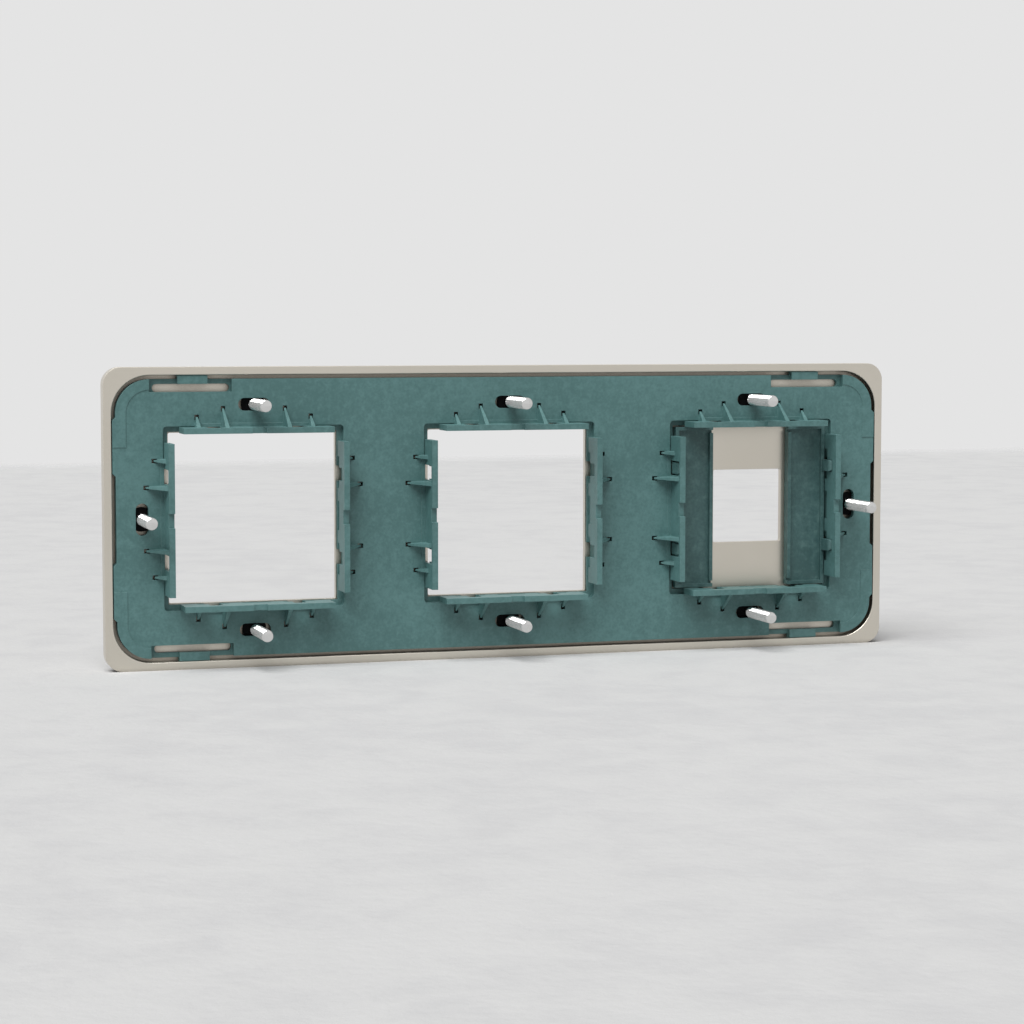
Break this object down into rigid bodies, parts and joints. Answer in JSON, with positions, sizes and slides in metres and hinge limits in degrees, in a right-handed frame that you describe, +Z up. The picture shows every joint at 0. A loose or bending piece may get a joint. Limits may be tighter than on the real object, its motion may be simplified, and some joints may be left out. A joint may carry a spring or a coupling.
{
  "type": "modular switch frame",
  "caption": "Long wall frame for snap-in switch modules: metal face plate with raised rim over a moulded carrier with square bays, snap walls, and screws in slots.",
  "frame": {"origin": "on the wall plane, at the middle of the eight screws and of the frame, which is the middle of the centre bay", "axes": "+X along the row of bays, away from the narrowed bay; +Y into the wall, out of the frame's back; +Z up"},
  "size_m": [0.222, 0.02, 0.08],
  "materials": {
    "plate_metal": "satin champagne",
    "carrier_plastic": "moulded, low sheen",
    "blank_plastic": "moulded, low sheen",
    "screw_metal": "bright plated",
    "washer_plastic": "plain black"
  },
  "bodies": {
    "frame": {"face_plate": "plate_metal", "carrier": "carrier_plastic", "blank_inner_side": "blank_plastic", "blank_outer_side": "blank_plastic"},
    "clamp_gang_1_top": {"washer_gang_1_top": "washer_plastic"},
    "turn_gang_1_top": {"screw_gang_1_top": "screw_metal"},
    "clamp_gang_1_bottom": {"washer_gang_1_bottom": "washer_plastic"},
    "turn_gang_1_bottom": {"screw_gang_1_bottom": "screw_metal"},
    "clamp_gang_2_top": {"washer_gang_2_top": "washer_plastic"},
    "turn_gang_2_top": {"screw_gang_2_top": "screw_metal"},
    "clamp_gang_2_bottom": {"washer_gang_2_bottom": "washer_plastic"},
    "turn_gang_2_bottom": {"screw_gang_2_bottom": "screw_metal"},
    "clamp_gang_3_top": {"washer_gang_3_top": "washer_plastic"},
    "turn_gang_3_top": {"screw_gang_3_top": "screw_metal"},
    "clamp_gang_3_bottom": {"washer_gang_3_bottom": "washer_plastic"},
    "turn_gang_3_bottom": {"screw_gang_3_bottom": "screw_metal"},
    "clamp_gang_1_side": {"washer_gang_1_side": "washer_plastic"},
    "turn_gang_1_side": {"screw_gang_1_side": "screw_metal"},
    "clamp_gang_3_side": {"washer_gang_3_side": "washer_plastic"},
    "turn_gang_3_side": {"screw_gang_3_side": "screw_metal"}
  },
  "joints": [
    {"name": "slide_gang_1_top", "type": "slide", "parent": "frame", "child": "clamp_gang_1_top", "axis": [1, 0, 0], "range_m": [-0.0028, 0.0028]},
    {"name": "spin_gang_1_top", "type": "hinge", "parent": "clamp_gang_1_top", "child": "turn_gang_1_top", "pos_m": [0.071, 0, 0.03], "axis": [0, 1, 0], "continuous": true},
    {"name": "slide_gang_1_bottom", "type": "slide", "parent": "frame", "child": "clamp_gang_1_bottom", "axis": [1, 0, 0], "range_m": [-0.0028, 0.0028]},
    {"name": "spin_gang_1_bottom", "type": "hinge", "parent": "clamp_gang_1_bottom", "child": "turn_gang_1_bottom", "pos_m": [0.071, 0, -0.03], "axis": [0, 1, 0], "continuous": true},
    {"name": "slide_gang_2_top", "type": "slide", "parent": "frame", "child": "clamp_gang_2_top", "axis": [1, 0, 0], "range_m": [-0.0028, 0.0028]},
    {"name": "spin_gang_2_top", "type": "hinge", "parent": "clamp_gang_2_top", "child": "turn_gang_2_top", "pos_m": [0, 0, 0.03], "axis": [0, 1, 0], "continuous": true},
    {"name": "slide_gang_2_bottom", "type": "slide", "parent": "frame", "child": "clamp_gang_2_bottom", "axis": [1, 0, 0], "range_m": [-0.0028, 0.0028]},
    {"name": "spin_gang_2_bottom", "type": "hinge", "parent": "clamp_gang_2_bottom", "child": "turn_gang_2_bottom", "pos_m": [0, 0, -0.03], "axis": [0, 1, 0], "continuous": true},
    {"name": "slide_gang_3_top", "type": "slide", "parent": "frame", "child": "clamp_gang_3_top", "axis": [1, 0, 0], "range_m": [-0.0028, 0.0028]},
    {"name": "spin_gang_3_top", "type": "hinge", "parent": "clamp_gang_3_top", "child": "turn_gang_3_top", "pos_m": [-0.071, 0, 0.03], "axis": [0, 1, 0], "continuous": true},
    {"name": "slide_gang_3_bottom", "type": "slide", "parent": "frame", "child": "clamp_gang_3_bottom", "axis": [1, 0, 0], "range_m": [-0.0028, 0.0028]},
    {"name": "spin_gang_3_bottom", "type": "hinge", "parent": "clamp_gang_3_bottom", "child": "turn_gang_3_bottom", "pos_m": [-0.071, 0, -0.03], "axis": [0, 1, 0], "continuous": true},
    {"name": "slide_gang_1_side", "type": "slide", "parent": "frame", "child": "clamp_gang_1_side", "axis": [0, 0, 1], "range_m": [-0.0028, 0.0028]},
    {"name": "spin_gang_1_side", "type": "hinge", "parent": "clamp_gang_1_side", "child": "turn_gang_1_side", "pos_m": [0.101, 0, 0], "axis": [0, 1, 0], "continuous": true},
    {"name": "slide_gang_3_side", "type": "slide", "parent": "frame", "child": "clamp_gang_3_side", "axis": [0, 0, 1], "range_m": [-0.0028, 0.0028]},
    {"name": "spin_gang_3_side", "type": "hinge", "parent": "clamp_gang_3_side", "child": "turn_gang_3_side", "pos_m": [-0.101, 0, 0], "axis": [0, 1, 0], "continuous": true}
  ]
}
